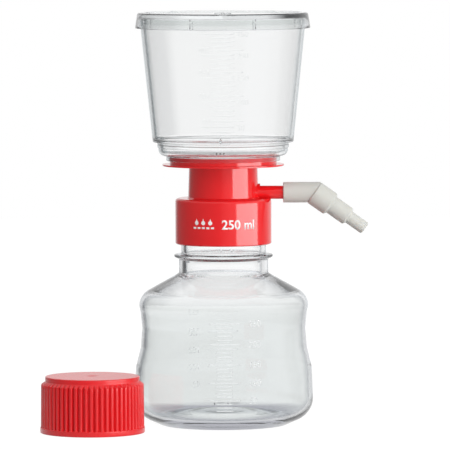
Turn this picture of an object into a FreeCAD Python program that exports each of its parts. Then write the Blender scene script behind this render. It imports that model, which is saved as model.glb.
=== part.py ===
"""Vacuum filtration unit, 250 ml, on a 45 mm threaded bottle neck.

From the bench up: a clear receiver bottle with a gripping waist, a flat gasket on its lip,
a red neck adapter with a threaded collar, a vacuum side arm and a ribbed membrane support,
the membrane, a clear funnel, and a loose clear lid. A stepped hose connector is pushed on
the side arm, with a wool plug inside the arm. The bottle's own red storage cap stands
beside the bottle, mouth down.

Millimetres. The origin is the centre of the bottle's foot, +Z up, +X along the side arm.
Each sub-part is written to parts/NODE.step.
"""
import FreeCAD, Part
import math
import os

from FreeCAD import Vector

# --- receiver bottle -------------------------------------------------------------------
BODY_RADIUS = 45.0            # widest, just above the heel
BODY_WALL = 1.6
FOOT_RADIUS = 31.6            # outer edge of the standing ring
FOOT_WIDTH = 4.0
FOOT_ROUND = 2.0
PUNT_HEIGHT = 3.6             # push-up of the base inside the standing ring
PUNT_FLAT_RADIUS = 14.0
PUNT_ROUND = 10.0
HEEL_RISE = 6.0               # height at which the heel's cone would meet the side
HEEL_ROUND = 11.0
LOWER_BODY_HEIGHT = 29.5      # from the foot to the soft edge below the waist
LOWER_BODY_DRAFT = 1.0        # taper of the side from the heel to that edge
LOWER_BODY_ROUND = 5.0
WAIST_DEPTH = 5.2             # from that edge in to where the waist's flanks would meet
WAIST_DROP = 14.1
WAIST_ROUND = 46.0
WAIST_RISE = 15.9             # from there up to the edge above the waist
UPPER_BODY_RADIUS = 42.3
UPPER_BODY_HEIGHT = 5.3       # short upright band under the shoulder
UPPER_BODY_ROUND = 4.0
SHOULDER_RISE = 11.2
SHOULDER_ROUND = 8.0

# --- bottle neck, gasket and thread fit ------------------------------------------------
THREAD_RADIUS = 22.5          # crest of the 45 mm thread
THREAD_DEPTH = 1.3
THREAD_CLEARANCE = 0.25       # from the crest to the bore of a collar or cap
NECK_WALL = 2.2
NECK_LENGTH = 23.3            # from the bead to the lip
NECK_ROOT_STEP = 1.2          # extra radius of the neck's root, under the bead
NECK_ROOT_LENGTH = 7.0
BEAD_PROUD = 2.2              # support bead, beyond the thread's crest
BEAD_THICKNESS = 3.3
BEAD_SLOPE = 1.1               # fall of its two flanks to a narrow edge
BEAD_ROUND = 0.5
GASKET_THICKNESS = 1.8
GASKET_CLEARANCE = 0.25       # from the gasket's edge to the collar's bore

# --- neck adapter ----------------------------------------------------------------------
COLLAR_WALL = 1.3
COLLAR_STANDOFF = 4.2         # from the bottle's bead to the collar's mouth
COLLAR_ROOF = 2.0
COLLAR_ROUND = 1.7
COLUMN_HEIGHT = 16.2
COLUMN_BASE_RADIUS = 17.6
COLUMN_DRAFT = 0.5
COLUMN_WALL = 1.5
COLUMN_ROUND = 0.8
PLATE_THICKNESS = 1.6
FLANGE_REACH = 3.65           # beyond the adapter's upstand
FLANGE_THICKNESS = 0.8
RIM_WALL = 2.45               # upstand round the basin
RIM_HEIGHT = 4.8              # from the plate's underside to the membrane's seat
BASIN_FALL = 0.7              # fall of the basin's floor to its outlet
RIB_COUNT = 16
RIB_WIDTH = 0.9
RIB_SETBACK = 2.5             # from the outlet to the ribs' inner ends
SPOUT_BORE_RADIUS = 4.0
SPOUT_WALL = 1.2
SPOUT_DIP = 3.0               # below the bottle's lip

# --- side arm, its plug and the hose connector -----------------------------------------
ARM_RADIUS = 3.35
ARM_WALL = 1.15
ARM_RISE = 2.7                # arm's axis above the collar's top
ARM_LENGTH = 20.9             # from the column's side to the arm's tip
BOSS_PROUD = 1.05             # boss round the arm's root
BOSS_LENGTH = 0.8
PLUG_LENGTH = 9.0
PLUG_CLEARANCE = 0.05
PLUG_SETBACK = 2.0            # from the arm's tip
SOCKET_CLEARANCE = 0.05
SOCKET_WALL = 1.75
SOCKET_GRIP = 8.6             # length of arm inside the socket
SOCKET_STOP = 1.0             # free depth past the arm's tip
ELBOW_SETBACK = 5.7           # from the bottom of the socket to the elbow
ELBOW_ANGLE = 35.5            # droop of the hose end
HOSE_STEPS = ((6.15, 10.5), (4.7, 10.7), (3.25, 10.2))   # radius and length of each step
HOSE_ROUND = 0.6
HOSE_BORE_RADIUS = 1.9

# --- membrane and funnel ---------------------------------------------------------------
MEMBRANE_RADIUS = 25.0
MEMBRANE_THICKNESS = 0.2
MEMBRANE_SEAT = 0.7           # width of the membrane's edge that is pinched
FUNNEL_WALL = 1.45
RING_CLEARANCE = 0.15         # from the adapter's upstand to the funnel's ring
RING_WALL = 1.6
RING_LENGTH = 2.4
BOWL_RADIUS = 32.4            # lowest step of the funnel
BOWL_HEIGHT = 4.2
BOWL_ROUND = 3.2
BAND_STEP = 0.5               # second step, beyond the bowl
BAND_HEIGHT = 2.7
CONE_STEP = 2.3               # foot of the cone, beyond the band
CONE_ROUND = 1.2
CONE_HEIGHT = 56.5
CONE_DRAFT = 5.8              # growth of the cone's radius up its height
MOUTH_HEIGHT = 5.6            # upright rim under the lid

# --- lid -------------------------------------------------------------------------------
LID_CLEARANCE = 0.6           # from the funnel's mouth to the skirt's root
LID_WALL = 1.0
LID_FLARE = 1.2               # growth of the skirt's radius down its length
LID_SKIRT = 5.3               # below the funnel's mouth
LID_THICKNESS = 1.8
LID_BEAD_WIDTH = 3.4          # raised edge of the cover
LID_BEAD_HEIGHT = 0.7
LID_ROUND = 1.2
LID_RIB_COUNT = 8
LID_RIB_WIDTH = 0.8
LID_RIB_CLEARANCE = 0.35      # from the funnel's mouth to the centring ribs
LID_RIB_SETBACK = 0.5         # from the skirt's edge to the ribs' lower ends
GATE_RADIUS = 3.2             # gate dimple at the centre of the lid and of the cap
GATE_DEPTH = 0.4

# --- storage cap -----------------------------------------------------------------------
CAP_GAP = 4.9                 # from the bottle's widest radius to the cap
CAP_DIRECTION = 211.0         # degrees from +X
CAP_HEIGHT = 27.9
CAP_WALL = 2.6
CAP_TOP_THICKNESS = 1.8
CAP_TOP_BAND = 2.4            # smooth band round the top
CAP_CHAMFER_WIDTH = 2.05
CAP_CHAMFER_HEIGHT = 1.6
CAP_DRAFT = 0.2
CAP_FOOT_STEP = 0.3           # smooth band round the mouth
CAP_FOOT_HEIGHT = 2.6
CAP_GROOVE_COUNT = 60
CAP_GROOVE_RADIUS = 0.72
CAP_GROOVE_DEPTH = 0.6
CAP_SEAL_HEIGHT = 1.2
CAP_SEAL_WIDTH = 0.8
CAP_CORNER_ROUND = 1.5        # inner corner under the top, above the thread's bore

# --- edges -----------------------------------------------------------------------------
EDGE_ROUND = 0.5              # usual moulded edge
FINE_ROUND = 0.3              # edge of a thin wall
CREASE_ROUND = 0.1            # edge that is left sharp
FLAT_LIMIT = 0.6              # an edge broken by no more than this gets a flat, not an arc

# --- radii that follow from the sizes above --------------------------------------------
NECK_RADIUS = THREAD_RADIUS - THREAD_DEPTH
NECK_BORE_RADIUS = NECK_RADIUS - NECK_WALL
NECK_ROOT_RADIUS = NECK_RADIUS + NECK_ROOT_STEP
BEAD_RADIUS = THREAD_RADIUS + BEAD_PROUD
THREAD_BORE_RADIUS = THREAD_RADIUS + THREAD_CLEARANCE
COLLAR_RADIUS = THREAD_BORE_RADIUS + COLLAR_WALL
SPOUT_RADIUS = SPOUT_BORE_RADIUS + SPOUT_WALL
BASIN_RADIUS = MEMBRANE_RADIUS - MEMBRANE_SEAT
RIM_RADIUS = BASIN_RADIUS + RIM_WALL
ARM_BORE_RADIUS = ARM_RADIUS - ARM_WALL
SOCKET_BORE_RADIUS = ARM_RADIUS + SOCKET_CLEARANCE
MOUTH_RADIUS = BOWL_RADIUS + BAND_STEP + CONE_STEP + CONE_DRAFT
CAP_SKIRT_RADIUS = THREAD_BORE_RADIUS + CAP_WALL
CAP_FOOT_RADIUS = CAP_SKIRT_RADIUS + CAP_DRAFT + CAP_FOOT_STEP

# --- heights that follow ---------------------------------------------------------------
WAIST_Z = LOWER_BODY_HEIGHT + WAIST_DROP
UPPER_BODY_Z = WAIST_Z + WAIST_RISE
SHOULDER_Z = UPPER_BODY_Z + UPPER_BODY_HEIGHT
NECK_ROOT_Z = SHOULDER_Z + SHOULDER_RISE
BEAD_Z = NECK_ROOT_Z + NECK_ROOT_LENGTH
BEAD_TOP_Z = BEAD_Z + BEAD_THICKNESS
LIP_Z = BEAD_TOP_Z + NECK_LENGTH
CEILING_Z = LIP_Z + GASKET_THICKNESS
COLLAR_TOP_Z = CEILING_Z + COLLAR_ROOF
COLLAR_BOTTOM_Z = BEAD_TOP_Z + COLLAR_STANDOFF
PLATE_Z = COLLAR_TOP_Z + COLUMN_HEIGHT
FLOOR_Z = PLATE_Z + PLATE_THICKNESS
SEAT_Z = PLATE_Z + RIM_HEIGHT
ARM_Z = COLLAR_TOP_Z + ARM_RISE
FUNNEL_Z = SEAT_Z + MEMBRANE_THICKNESS
BAND_Z = FUNNEL_Z + BOWL_HEIGHT
CONE_Z = BAND_Z + BAND_HEIGHT
MOUTH_Z = CONE_Z + CONE_HEIGHT + MOUTH_HEIGHT

# --- reaches along the side arm --------------------------------------------------------
ARM_REACH = COLUMN_BASE_RADIUS + ARM_LENGTH
SOCKET_REACH = ARM_REACH - SOCKET_GRIP
SOCKET_BOTTOM = ARM_REACH + SOCKET_STOP
ELBOW_REACH = SOCKET_BOTTOM + ELBOW_SETBACK

ORIGIN = Vector(0, 0, 0)
UP = Vector(0, 0, 1)
OUTWARD = Vector(1, 0, 0)


# --- outlines and repeats --------------------------------------------------------------
def with_rounding(point):
    """An outline point as (radius, height, rounding)."""
    return point if len(point) == 3 else (*point, 0.0)


def outline(points):
    """Closed wire in the XZ plane through (radius, height[, rounding]) points.

    Two roundings that don't both fit on the side between them shrink by the same share.
    Small ones are drawn as flats, which keeps the solids light.
    """
    points = [with_rounding(p) for p in points]
    count = len(points)
    spots = [Vector(r, 0, z) for r, z, _ in points]
    sides = [spots[(i + 1) % count] - spots[i] for i in range(count)]
    halves = [(math.pi - sides[i - 1].getAngle(sides[i])) / 2 for i in range(count)]
    cuts = [p[2] / math.tan(half) for p, half in zip(points, halves)]
    shares = [1.0] * count
    for i in range(count):
        j = (i + 1) % count
        room = 0.98 * sides[i].Length / max(cuts[i] + cuts[j], 1e-9)
        shares[i] = min(shares[i], room)
        shares[j] = min(shares[j], room)

    edges, ends = [], []
    for i in range(count):
        cut = cuts[i] * shares[i]
        back = (spots[i - 1] - spots[i]).normalize()
        ahead = (spots[(i + 1) % count] - spots[i]).normalize()
        start, end = spots[i] + back * cut, spots[i] + ahead * cut
        ends.append((start, end))
        radius = cut * math.tan(halves[i])
        if cut and radius <= FLAT_LIMIT:
            edges.append(Part.LineSegment(start, end).toShape())
        elif cut:
            reach = radius / math.sin(halves[i]) - radius
            middle = spots[i] + (back + ahead).normalize() * reach
            edges.append(Part.Arc(start, middle, end).toShape())
    for i in range(count):
        start, end = ends[i][1], ends[(i + 1) % count][0]
        if start.distanceToPoint(end) > 1e-6:
            edges.append(Part.LineSegment(start, end).toShape())
    return Part.Wire(Part.__sortEdges__(edges))


def inner_path(path, wall):
    """The path moved to its left by a wall, with its roundings kept parallel."""
    path = [with_rounding(p) for p in path]
    lines = []
    for (r0, z0, _), (r1, z1, _) in zip(path, path[1:]):
        length = math.hypot(r1 - r0, z1 - z0)
        along = ((r1 - r0) / length, (z1 - z0) / length)
        lines.append(((r0 - along[1] * wall, z0 + along[0] * wall), along, length))
    moved = [(*lines[0][0], path[0][2])]
    for (a, u, _), (b, v, _), (_, _, rounding) in zip(lines, lines[1:], path[1:]):
        cross = u[0] * v[1] - u[1] * v[0]
        step = ((b[0] - a[0]) * v[1] - (b[1] - a[1]) * v[0]) / cross
        kept = max(rounding - wall, FINE_ROUND) if cross > 0 else rounding + wall
        moved.append((a[0] + u[0] * step, a[1] + u[1] * step, kept))
    (a, u, length) = lines[-1]
    moved.append((a[0] + u[0] * length, a[1] + u[1] * length, path[-1][2]))
    return moved


def turned(points):
    """Solid of revolution about the Z axis."""
    return Part.Face(outline(points)).revolve(ORIGIN, UP, 360)


def tube(outer, inner, bottom, top):
    return turned([(inner, bottom), (outer, bottom), (outer, top), (inner, top)])


def radial_bar(start, end, width, bottom, top):
    """Upright bar from one radius to another along +X."""
    return Part.makeBox(end - start, width, top - bottom, Vector(start, -width / 2, bottom))


def ring_of(shape, count, first=0.0):
    """Copies of a shape, evenly spaced round the Z axis."""
    copies = []
    for i in range(count):
        copy = shape.copy()
        copy.rotate(ORIGIN, UP, first + 360.0 * i / count)
        copies.append(copy)
    return copies


def gate_dimple(top):
    """Cutter for the shallow dimple at the centre of a moulded top face."""
    radius = (GATE_RADIUS ** 2 + GATE_DEPTH ** 2) / (2 * GATE_DEPTH)
    return Part.makeSphere(radius, Vector(0, 0, top + radius - GATE_DEPTH))


# --- sub-parts -------------------------------------------------------------------------
def make_bottle():
    waist_edge_radius = BODY_RADIUS - LOWER_BODY_DRAFT
    body = [
        (0, PUNT_HEIGHT),
        (PUNT_FLAT_RADIUS, PUNT_HEIGHT, PUNT_ROUND),
        (FOOT_RADIUS - FOOT_WIDTH, 0, FOOT_ROUND),
        (FOOT_RADIUS, 0, FOOT_ROUND),
        (BODY_RADIUS, HEEL_RISE, HEEL_ROUND),
        (waist_edge_radius, LOWER_BODY_HEIGHT, LOWER_BODY_ROUND),
        (waist_edge_radius - WAIST_DEPTH, WAIST_Z, WAIST_ROUND),
        (UPPER_BODY_RADIUS, UPPER_BODY_Z, UPPER_BODY_ROUND),
        (UPPER_BODY_RADIUS, SHOULDER_Z, SHOULDER_ROUND),
        (NECK_ROOT_RADIUS, NECK_ROOT_Z, EDGE_ROUND),
    ]
    neck = [
        (NECK_ROOT_RADIUS, BEAD_Z, EDGE_ROUND),
        (BEAD_RADIUS, BEAD_Z + BEAD_SLOPE, BEAD_ROUND),
        (BEAD_RADIUS, BEAD_TOP_Z - BEAD_SLOPE, BEAD_ROUND),
        (NECK_RADIUS, BEAD_TOP_Z, EDGE_ROUND),
        (NECK_RADIUS, LIP_Z, EDGE_ROUND),
        (NECK_BORE_RADIUS, LIP_Z, EDGE_ROUND),
    ]
    inside = inner_path(body, BODY_WALL)
    (r0, z0, _), (r1, z1, _) = inside[-2:]
    throat_z = z0 + (NECK_BORE_RADIUS - r0) * (z1 - z0) / (r1 - r0)
    inside[-1] = (NECK_BORE_RADIUS, throat_z, FOOT_ROUND)
    return turned(body + neck + inside[::-1])


def make_gasket():
    outer = THREAD_BORE_RADIUS - GASKET_CLEARANCE
    return tube(outer, NECK_BORE_RADIUS, LIP_Z, CEILING_Z)


def adapter_shell():
    """Collar, column, plate, basin and drip spout, one wall turned about the axis."""
    column_top_radius = COLUMN_BASE_RADIUS - COLUMN_DRAFT
    flange_z = PLATE_Z + FLANGE_THICKNESS
    flange_radius = RIM_RADIUS + FLANGE_REACH
    spout_z = LIP_Z - SPOUT_DIP
    return turned([
        (THREAD_BORE_RADIUS, COLLAR_BOTTOM_Z, EDGE_ROUND),
        (COLLAR_RADIUS, COLLAR_BOTTOM_Z, EDGE_ROUND),
        (COLLAR_RADIUS, COLLAR_TOP_Z, COLLAR_ROUND),
        (COLUMN_BASE_RADIUS, COLLAR_TOP_Z, EDGE_ROUND),
        (column_top_radius, PLATE_Z, COLUMN_ROUND),
        (flange_radius, PLATE_Z, CREASE_ROUND),
        (flange_radius, flange_z, CREASE_ROUND),
        (RIM_RADIUS, flange_z, CREASE_ROUND),
        (RIM_RADIUS, SEAT_Z, FINE_ROUND),
        (BASIN_RADIUS, SEAT_Z, CREASE_ROUND),
        (BASIN_RADIUS, FLOOR_Z + BASIN_FALL, FINE_ROUND),
        (SPOUT_BORE_RADIUS, FLOOR_Z, EDGE_ROUND),
        (SPOUT_BORE_RADIUS, spout_z, FINE_ROUND),
        (SPOUT_RADIUS, spout_z, FINE_ROUND),
        (SPOUT_RADIUS, PLATE_Z, EDGE_ROUND),
        (column_top_radius - COLUMN_WALL, PLATE_Z, EDGE_ROUND),
        (COLUMN_BASE_RADIUS - COLUMN_WALL, CEILING_Z, EDGE_ROUND),
        (THREAD_BORE_RADIUS, CEILING_Z, CREASE_ROUND),
    ])


def membrane_ribs():
    """Radial ribs that carry the membrane level with its seat."""
    rib = radial_bar(SPOUT_BORE_RADIUS + RIB_SETBACK, BASIN_RADIUS + RIM_WALL / 2, RIB_WIDTH,
                     FLOOR_Z - PLATE_THICKNESS / 2, SEAT_Z)
    return ring_of(rib, RIB_COUNT)


def make_adapter():
    inside = COLUMN_BASE_RADIUS - COLUMN_WALL
    root = Vector(inside + CREASE_ROUND, 0, ARM_Z)
    arm = Part.makeCylinder(ARM_RADIUS, ARM_REACH - root.x, root, OUTWARD)
    boss_reach = COLUMN_BASE_RADIUS + BOSS_LENGTH - root.x
    boss = Part.makeCylinder(ARM_RADIUS + BOSS_PROUD, boss_reach, root, OUTWARD)
    bore_start = Vector((inside + SPOUT_RADIUS) / 2, 0, ARM_Z)
    bore = Part.makeCylinder(ARM_BORE_RADIUS, ARM_REACH - bore_start.x, bore_start, OUTWARD)
    solid = adapter_shell().multiFuse(membrane_ribs() + [boss, arm])
    return solid.cut(bore).removeSplitter()


def make_vent_plug():
    start = Vector(ARM_REACH - PLUG_SETBACK - PLUG_LENGTH, 0, ARM_Z)
    return Part.makeCylinder(ARM_BORE_RADIUS - PLUG_CLEARANCE, PLUG_LENGTH, start, OUTWARD)


def make_hose_connector():
    """Socket, mitred elbow and stepped hose end, with one passage through them."""
    steps = [(0, 0)]
    reach = 0.0
    for radius, length in HOSE_STEPS:
        steps += [(radius, reach, HOSE_ROUND), (radius, reach + length, HOSE_ROUND)]
        reach += length
    hose_end = turned(steps + [(0, reach)])
    passage = Part.makeCylinder(HOSE_BORE_RADIUS, reach)
    beyond = Part.makeCylinder(2 * HOSE_STEPS[0][0], reach)
    elbow = Vector(ELBOW_REACH, 0, ARM_Z)
    for shape in (hose_end, passage, beyond):
        shape.rotate(ORIGIN, Vector(0, 1, 0), 90 + ELBOW_ANGLE)
        shape.translate(elbow)

    mouth = Vector(SOCKET_REACH, 0, ARM_Z)
    length = ELBOW_REACH - SOCKET_REACH
    socket_radius = SOCKET_BORE_RADIUS + SOCKET_WALL
    socket = Part.makeCylinder(socket_radius, length + socket_radius, mouth, OUTWARD)
    mouth_edge = min(socket.Edges, key=lambda edge: edge.BoundBox.XMax)
    socket = socket.makeChamfer(FINE_ROUND, [mouth_edge]).cut(beyond)
    hollows = [
        Part.makeCylinder(SOCKET_BORE_RADIUS, SOCKET_BOTTOM - SOCKET_REACH, mouth, OUTWARD),
        Part.makeCylinder(HOSE_BORE_RADIUS, length, mouth, OUTWARD),
        Part.makeSphere(HOSE_BORE_RADIUS, elbow),
        passage,
    ]
    return hose_end.fuse(socket).cut(hollows[0].multiFuse(hollows[1:])).removeSplitter()


def make_membrane():
    return Part.makeCylinder(MEMBRANE_RADIUS, MEMBRANE_THICKNESS, Vector(0, 0, SEAT_Z))


def make_funnel():
    band_radius = BOWL_RADIUS + BAND_STEP
    cone_radius = band_radius + CONE_STEP
    outside = [
        (BASIN_RADIUS, FUNNEL_Z),
        (BOWL_RADIUS, FUNNEL_Z, BOWL_ROUND),
        (BOWL_RADIUS, BAND_Z, FINE_ROUND),
        (band_radius, BAND_Z, FINE_ROUND),
        (band_radius, CONE_Z, FINE_ROUND),
        (cone_radius, CONE_Z, CONE_ROUND),
        (MOUTH_RADIUS, CONE_Z + CONE_HEIGHT),
        (MOUTH_RADIUS, MOUTH_Z, EDGE_ROUND),
    ]
    wall = turned(outside + inner_path(outside, FUNNEL_WALL)[::-1])
    ring_radius = RIM_RADIUS + RING_CLEARANCE
    ring = turned([
        (ring_radius, FUNNEL_Z - RING_LENGTH, FINE_ROUND),
        (ring_radius + RING_WALL, FUNNEL_Z - RING_LENGTH, FINE_ROUND),
        (ring_radius + RING_WALL, FUNNEL_Z + FUNNEL_WALL / 2),
        (ring_radius, FUNNEL_Z + FUNNEL_WALL / 2),
    ])
    return wall.fuse(ring).removeSplitter()


def make_lid():
    root = MOUTH_RADIUS + LID_CLEARANCE
    hem = root + LID_FLARE
    hem_z = MOUTH_Z - LID_SKIRT
    cover_z = MOUTH_Z + LID_THICKNESS
    bead_z = cover_z + LID_BEAD_HEIGHT
    bead_inner = root + LID_WALL - LID_BEAD_WIDTH
    cover = turned([
        (0, MOUTH_Z),
        (root, MOUTH_Z, FINE_ROUND),
        (hem, hem_z, FINE_ROUND),
        (hem + LID_WALL, hem_z, FINE_ROUND),
        (root + LID_WALL, bead_z, LID_ROUND),
        (bead_inner, bead_z, EDGE_ROUND),
        (bead_inner - LID_BEAD_HEIGHT, cover_z, EDGE_ROUND),
        (0, cover_z),
    ])
    inside_skirt = Part.makeCone(
        hem + LID_WALL / 2, root + LID_WALL / 2, LID_SKIRT, Vector(0, 0, hem_z))
    rib = radial_bar(MOUTH_RADIUS + LID_RIB_CLEARANCE, hem + LID_WALL, LID_RIB_WIDTH,
                     hem_z + LID_RIB_SETBACK, MOUTH_Z)
    ribs = [bar.common(inside_skirt) for bar in ring_of(rib, LID_RIB_COUNT, 180 / LID_RIB_COUNT)]
    return cover.multiFuse(ribs).cut(gate_dimple(cover_z)).removeSplitter()


def make_storage_cap():
    ceiling_z = CAP_HEIGHT - CAP_TOP_THICKNESS
    band_z = CAP_HEIGHT - CAP_TOP_BAND
    grip_z = band_z - CAP_CHAMFER_HEIGHT
    top_radius = CAP_SKIRT_RADIUS - CAP_CHAMFER_WIDTH
    shell = turned([
        (0, CAP_HEIGHT),
        (top_radius, CAP_HEIGHT, EDGE_ROUND),
        (top_radius, band_z, FINE_ROUND),
        (CAP_SKIRT_RADIUS, grip_z, EDGE_ROUND),
        (CAP_SKIRT_RADIUS + CAP_DRAFT, CAP_FOOT_HEIGHT + CAP_FOOT_STEP, CREASE_ROUND),
        (CAP_FOOT_RADIUS, CAP_FOOT_HEIGHT, CREASE_ROUND),
        (CAP_FOOT_RADIUS, 0, EDGE_ROUND),
        (THREAD_BORE_RADIUS, 0, FINE_ROUND),
        (THREAD_BORE_RADIUS, ceiling_z, CAP_CORNER_ROUND),
        (0, ceiling_z),
    ])
    seal_middle = (NECK_BORE_RADIUS + NECK_RADIUS) / 2
    seal = tube(seal_middle + CAP_SEAL_WIDTH / 2, seal_middle - CAP_SEAL_WIDTH / 2,
                ceiling_z - CAP_SEAL_HEIGHT, ceiling_z + CAP_TOP_THICKNESS / 2)
    axis = Vector(CAP_SKIRT_RADIUS - CAP_GROOVE_DEPTH + CAP_GROOVE_RADIUS, 0, 0)
    foot_z = CAP_FOOT_HEIGHT + CAP_FOOT_STEP
    groove = Part.makeCylinder(CAP_GROOVE_RADIUS, grip_z - foot_z, axis + UP * foot_z)
    groove = groove.fuse(Part.makeSphere(CAP_GROOVE_RADIUS, axis + UP * grip_z))
    grooves = Part.makeCompound(ring_of(groove, CAP_GROOVE_COUNT))
    cap = shell.fuse(seal).cut(grooves).cut(gate_dimple(CAP_HEIGHT)).removeSplitter()
    distance = BODY_RADIUS + CAP_GAP + CAP_FOOT_RADIUS
    bearing = math.radians(CAP_DIRECTION)
    cap.translate(Vector(math.cos(bearing), math.sin(bearing), 0) * distance)
    return cap


PARTS = {
    "bottle": make_bottle,
    "storage_cap": make_storage_cap,
    "bottle_gasket": make_gasket,
    "neck_adapter": make_adapter,
    "vent_plug": make_vent_plug,
    "hose_connector": make_hose_connector,
    "membrane": make_membrane,
    "funnel": make_funnel,
    "lid": make_lid,
}

os.makedirs("parts", exist_ok=True)
for node, make in PARTS.items():
    shape = make()
    box = shape.BoundBox
    print(f"{node}: {len(shape.Solids)} solid, valid {shape.isValid()},"
          f" {shape.Volume / 1000:.2f} cm3, {len(shape.Faces)} faces,"
          f" z {box.ZMin:.2f} to {box.ZMax:.2f}")
    shape.exportStep(f"parts/{node}.step")
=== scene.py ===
# %% [markdown]
# # A vacuum filtration unit, dressed for its portrait
#
# The unit stands on its receiver bottle. A red adapter screws on the bottle's neck, carries the
# filter membrane under a clear funnel, and takes the vacuum hose on its side arm. The bottle's
# own red cap stands beside it.
#
# The construction comes from a CAD model. It is loaded as a fixed frame, and this script gives
# it the looks. Clear walls, the ribbed cap, the thread and the scales are modelled again here,
# finer than a CAD export gives them. The adapter, the hose connector and the small inner parts
# keep their CAD meshes and only get better materials.

# %% Load the frame
import math

import bmesh
import bpy
from mathutils import Matrix, Vector


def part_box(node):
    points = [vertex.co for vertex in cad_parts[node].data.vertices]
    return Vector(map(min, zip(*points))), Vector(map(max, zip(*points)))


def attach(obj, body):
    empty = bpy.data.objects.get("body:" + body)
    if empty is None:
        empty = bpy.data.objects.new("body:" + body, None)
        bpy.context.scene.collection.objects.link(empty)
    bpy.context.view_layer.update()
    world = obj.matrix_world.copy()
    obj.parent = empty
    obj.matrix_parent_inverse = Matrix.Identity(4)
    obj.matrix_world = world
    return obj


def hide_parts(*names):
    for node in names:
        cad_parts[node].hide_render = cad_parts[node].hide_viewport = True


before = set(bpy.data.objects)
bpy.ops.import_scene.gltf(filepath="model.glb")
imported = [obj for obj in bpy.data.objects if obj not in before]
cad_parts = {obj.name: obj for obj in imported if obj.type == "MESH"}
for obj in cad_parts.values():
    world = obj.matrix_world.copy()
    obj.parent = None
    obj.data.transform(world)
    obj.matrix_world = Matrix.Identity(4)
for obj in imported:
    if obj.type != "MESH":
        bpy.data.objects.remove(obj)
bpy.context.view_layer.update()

MM = 0.001
for name in sorted(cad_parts):
    low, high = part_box(name)
    print(f"{name}: {high.x - low.x:.4f} x {high.y - low.y:.4f} m, z {low.z:.4f} to {high.z:.4f}")

# %% [markdown]
# ## Shader maths as plain expressions
#
# A material is a network of nodes. Writing one out link by link hides what it does, so two small
# classes help. `Value` wraps a socket, and arithmetic on it adds Math nodes. `Nodes` adds any
# other node in one call: its kind, then its settings, then the values or links of its sockets.

# %% A socket that does arithmetic
class Value:
    """A shader value; arithmetic on it adds Math nodes."""

    def __init__(self, nodes, socket):
        self.nodes = nodes
        self.socket = socket

    def maths(self, operation, *pair):
        values = dict(enumerate(pair))
        return self.nodes.add("Math", {"operation": operation}, values)

    def __add__(self, other):
        return self.maths("ADD", self, other)

    def __sub__(self, other):
        return self.maths("SUBTRACT", self, other)

    def __rsub__(self, other):
        return self.maths("SUBTRACT", other, self)

    def __mul__(self, other):
        return self.maths("MULTIPLY", self, other)

    def __truediv__(self, other):
        return self.maths("DIVIDE", self, other)

    __radd__ = __add__
    __rmul__ = __mul__


# %% One call for any node
class Nodes:
    """The nodes of one material or of the world."""

    def __init__(self, owner):
        owner.use_nodes = True
        self.tree = owner.node_tree
        self.tree.nodes.clear()

    def add(self, kind, settings=None, values=None, output=0):
        node = self.tree.nodes.new("ShaderNode" + kind)
        for name, setting in (settings or {}).items():
            setattr(node, name, setting)
        for name, value in (values or {}).items():
            if isinstance(value, Value):
                self.tree.links.new(value.socket, node.inputs[name])
            else:
                node.inputs[name].default_value = value
        return Value(self, node.outputs[output])

    def between(self, value, low, high):
        """0 below low, 1 above high, and an even rise between them."""
        settings = {"clamp": True}
        return self.add("MapRange", settings, {"Value": value, "From Min": low, "From Max": high})

    def mix(self, share, first, second):
        """A colour between two colours."""
        return self.add("Mix", {"data_type": "RGBA"}, {0: share, 6: first, 7: second}, output=2)

    def grey(self, value):
        """The same value in red, green and blue."""
        return self.add("CombineColor", None, {"Red": value, "Green": value, "Blue": value})

    def split(self, vector):
        """The x, y and z of a vector."""
        parts = self.add("SeparateXYZ", None, {0: vector}).socket.node.outputs
        return [Value(self, part) for part in parts]

    def noise(self, place, size, detail=2.0):
        """Soft noise from 0 to 1 whose grains are about `size` metres."""
        values = {"Vector": place, "Scale": 1 / size, "Detail": detail}
        return self.add("TexNoise", None, values)

    def bump(self, height, depth):
        """A normal that follows `height`, where 1 stands `depth` metres proud."""
        return self.add("Bump", None, {"Height": height, "Strength": 1.0, "Distance": depth})

    def show(self, surface, volume=None, output="OutputMaterial"):
        """Joins the shaders to the output."""
        values = {"Surface": surface} if volume is None else {"Surface": surface, "Volume": volume}
        node = self.tree.nodes.new("ShaderNode" + output)
        for name, value in values.items():
            self.tree.links.new(value.socket, node.inputs[name])


def new_material(name):
    """A material with its nodes, and the place on the piece, in metres."""
    material = bpy.data.materials.new(name)
    nodes = Nodes(material)
    place = nodes.add("TexCoord", output="Object")
    return material, nodes, place


# %% [markdown]
# ## Clear plastic
#
# Funnel, lid and bottle are clear polystyrene. Such a wall shows itself in four ways: it bends
# what is behind it, its thick places take a little light, its outline is darker than its face,
# and its surface is never quite flat. Glass shading on a wall with real thickness gives the
# first, and a thin absorption inside the wall the second. Layer Weight tells where the wall
# turns away from the eye, and a painted shade there, a darker colour, gives the third. A low
# wavy bump gives the fourth. A blown bottle waves more than a moulded funnel, so the waves are
# arguments.
#
# Two things depart from nature. A full mirror would fill the walls with the studio, so the
# specular tint dulls it. And a path tracer hardly finds the lamps through glass, so what stands
# inside or behind a clear wall would be too dark. Light Path knows which rays look for light,
# and for them the wall is a plain transparent film.

# %% What a clear wall lets through
LIT_FILM = (0.9, 0.9, 0.9, 1)


def lets_light_in(nodes, surface):
    """The surface stays as it is to look at, but the light of lamps and studio comes through."""
    lamplight = nodes.add("LightPath", output="Is Shadow Ray")
    daylight = nodes.add("LightPath", output="Is Diffuse Ray")
    film = nodes.add("BsdfTransparent", None, {"Color": LIT_FILM})
    return nodes.add("MixShader", None, {0: lamplight + daylight, 1: surface, 2: film})


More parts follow.
